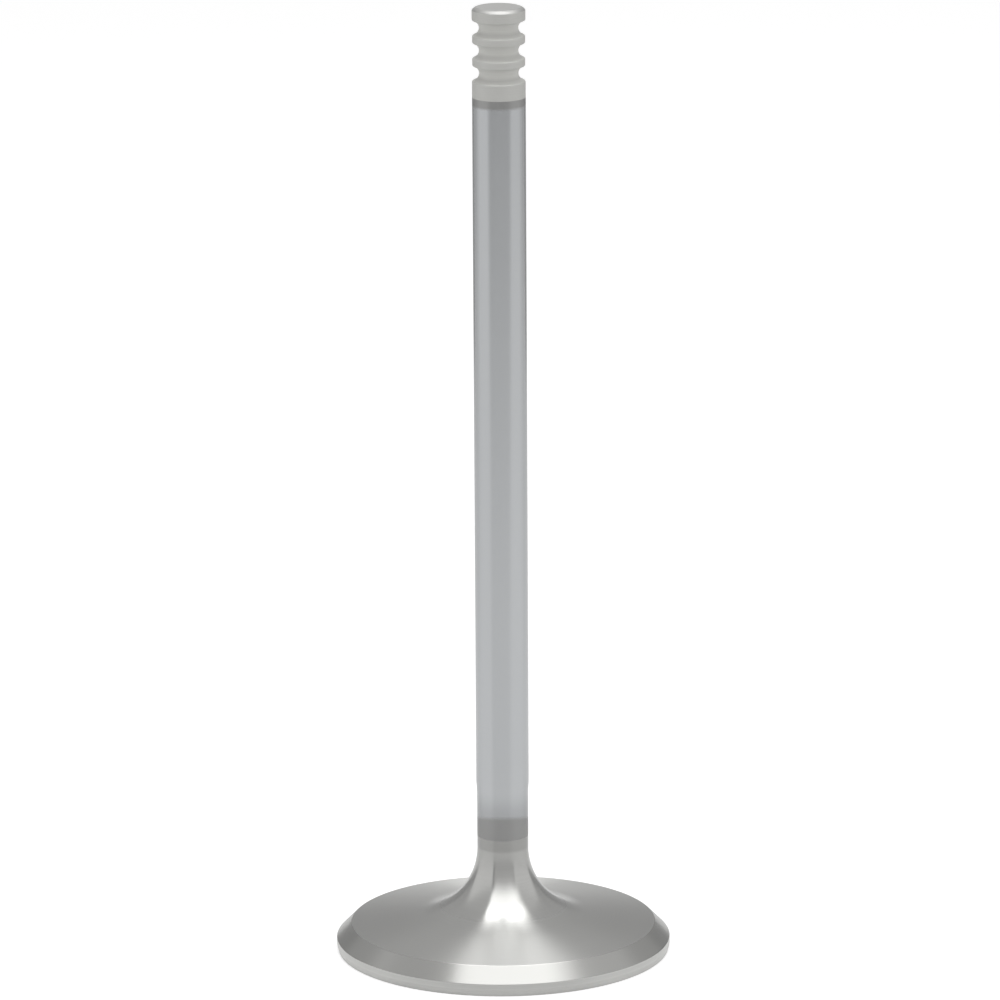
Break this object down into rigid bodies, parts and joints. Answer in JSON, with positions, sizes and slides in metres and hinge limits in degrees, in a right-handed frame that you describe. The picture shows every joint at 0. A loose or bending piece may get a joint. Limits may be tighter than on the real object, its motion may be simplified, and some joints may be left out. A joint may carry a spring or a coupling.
{
  "type": "engine valve",
  "caption": "Poppet valve of a piston engine: flat round head with a 45 degree seat, tulip neck and a straight ground stem with keeper grooves at its end.",
  "frame": {"origin": "centre of the flat combustion face, on the axis of the stem", "axes": "+Z along the stem, from the head to the grooved end; the valve is round, so X and Y are any two square directions"},
  "size_m": [0.0446, 0.0446, 0.1276],
  "materials": {
    "valve_steel": "fine-turned valve steel, ground seat, hard-chromed and polished stem, bare satin end above the chrome"
  },
  "bodies": {
    "root": {"engine_valve": "valve_steel"}
  },
  "joints": []
}
